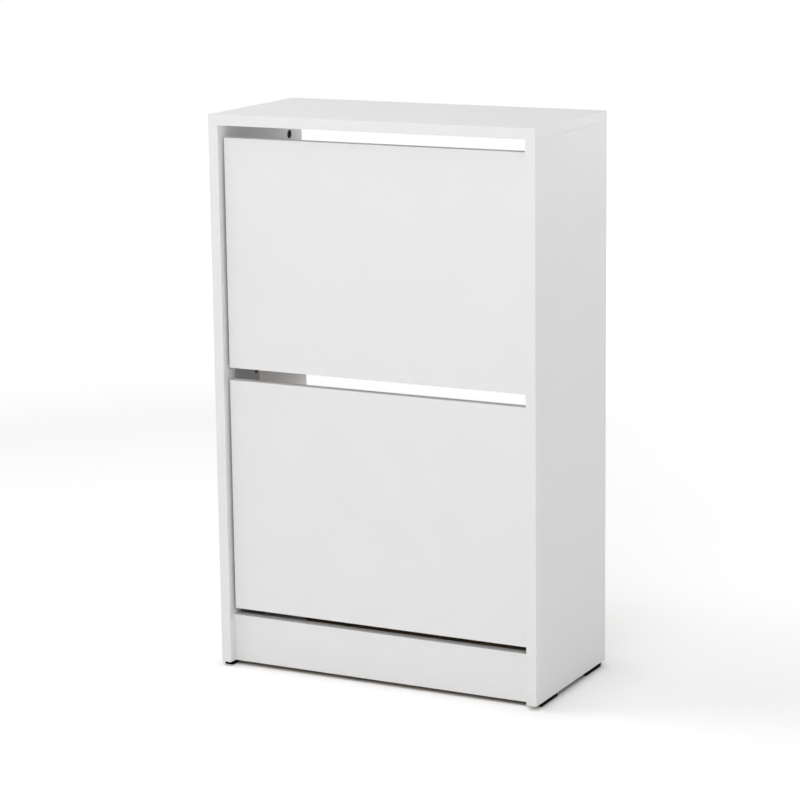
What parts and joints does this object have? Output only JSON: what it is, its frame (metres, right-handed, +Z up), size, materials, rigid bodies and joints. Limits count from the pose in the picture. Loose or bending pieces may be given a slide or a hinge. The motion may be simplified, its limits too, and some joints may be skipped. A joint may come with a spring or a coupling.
{
  "type": "shoe cabinet",
  "caption": "Narrow white shoe cabinet with two tilt-out compartments, each a handleless door with a divided bin behind it, open at the back.",
  "frame": {"origin": "on the floor, under the middle of the cabinet", "axes": "+Z up, -Y towards the front (the doors), +X to the right seen from the front"},
  "size_m": [0.5, 0.24, 0.8],
  "materials": {
    "laminate": "satin white foil on particleboard",
    "fibreboard": "thin fibreboard, painted white on one face",
    "fitting_plastic": "moulded light grey plastic, fine grain",
    "black_plastic": "black moulded plastic",
    "black_metal": "blackened zinc cams and steel screws",
    "steel": "zinc-plated steel",
    "beech": "raw fluted beech"
  },
  "bodies": {
    "carcass": {"top_panel": "laminate", "side_panel_left": "laminate", "side_panel_right": "laminate", "plinth": "laminate", "rear_rail_upper": "laminate", "rear_rail_middle": "laminate", "rear_rail_lower": "laminate", "foot_front_left": "black_plastic", "cam_lock_front_left": "black_metal", "cam_bolt_front_left": "steel", "dowel_front_left": "beech", "foot_front_right": "black_plastic", "cam_lock_front_right": "black_metal", "cam_bolt_front_right": "steel", "dowel_front_right": "beech", "foot_rear_left": "black_plastic", "cam_lock_rear_left": "black_metal", "cam_bolt_rear_left": "steel", "dowel_rear_left": "beech", "foot_rear_right": "black_plastic", "cam_lock_rear_right": "black_metal", "cam_bolt_rear_right": "steel", "dowel_rear_right": "beech", "upper_pivot_plate_left": "fitting_plastic", "upper_plate_screw_left_1": "black_metal", "upper_plate_screw_left_2": "black_metal", "upper_pivot_plate_right": "fitting_plastic", "upper_plate_screw_right_1": "black_metal", "upper_plate_screw_right_2": "black_metal", "lower_pivot_plate_left": "fitting_plastic", "lower_plate_screw_left_1": "black_metal", "lower_plate_screw_left_2": "black_metal", "lower_pivot_plate_right": "fitting_plastic", "lower_plate_screw_right_1": "black_metal", "lower_plate_screw_right_2": "black_metal"},
    "upper_compartment": {"upper_door": "laminate", "upper_floor_board": "fibreboard", "upper_divider_board": "fibreboard", "upper_rear_board": "fibreboard", "upper_bracket_left": "fitting_plastic", "upper_pivot_pin_left": "steel", "upper_bracket_screw_left_1": "steel", "upper_bracket_screw_left_2": "steel", "upper_bracket_right": "fitting_plastic", "upper_pivot_pin_right": "steel", "upper_bracket_screw_right_1": "steel", "upper_bracket_screw_right_2": "steel"},
    "lower_compartment": {"lower_door": "laminate", "lower_floor_board": "fibreboard", "lower_divider_board": "fibreboard", "lower_rear_board": "fibreboard", "lower_bracket_left": "fitting_plastic", "lower_pivot_pin_left": "steel", "lower_bracket_screw_left_1": "steel", "lower_bracket_screw_left_2": "steel", "lower_bracket_right": "fitting_plastic", "lower_pivot_pin_right": "steel", "lower_bracket_screw_right_1": "steel", "lower_bracket_screw_right_2": "steel"}
  },
  "joints": [
    {"name": "upper_tilt", "type": "hinge", "parent": "carcass", "child": "upper_compartment", "pos_m": [0, -0.086, 0.49], "axis": [1, 0, 0], "range_deg": [0, 38]},
    {"name": "lower_tilt", "type": "hinge", "parent": "carcass", "child": "lower_compartment", "pos_m": [0, -0.086, 0.136], "axis": [1, 0, 0], "range_deg": [0, 38]}
  ]
}
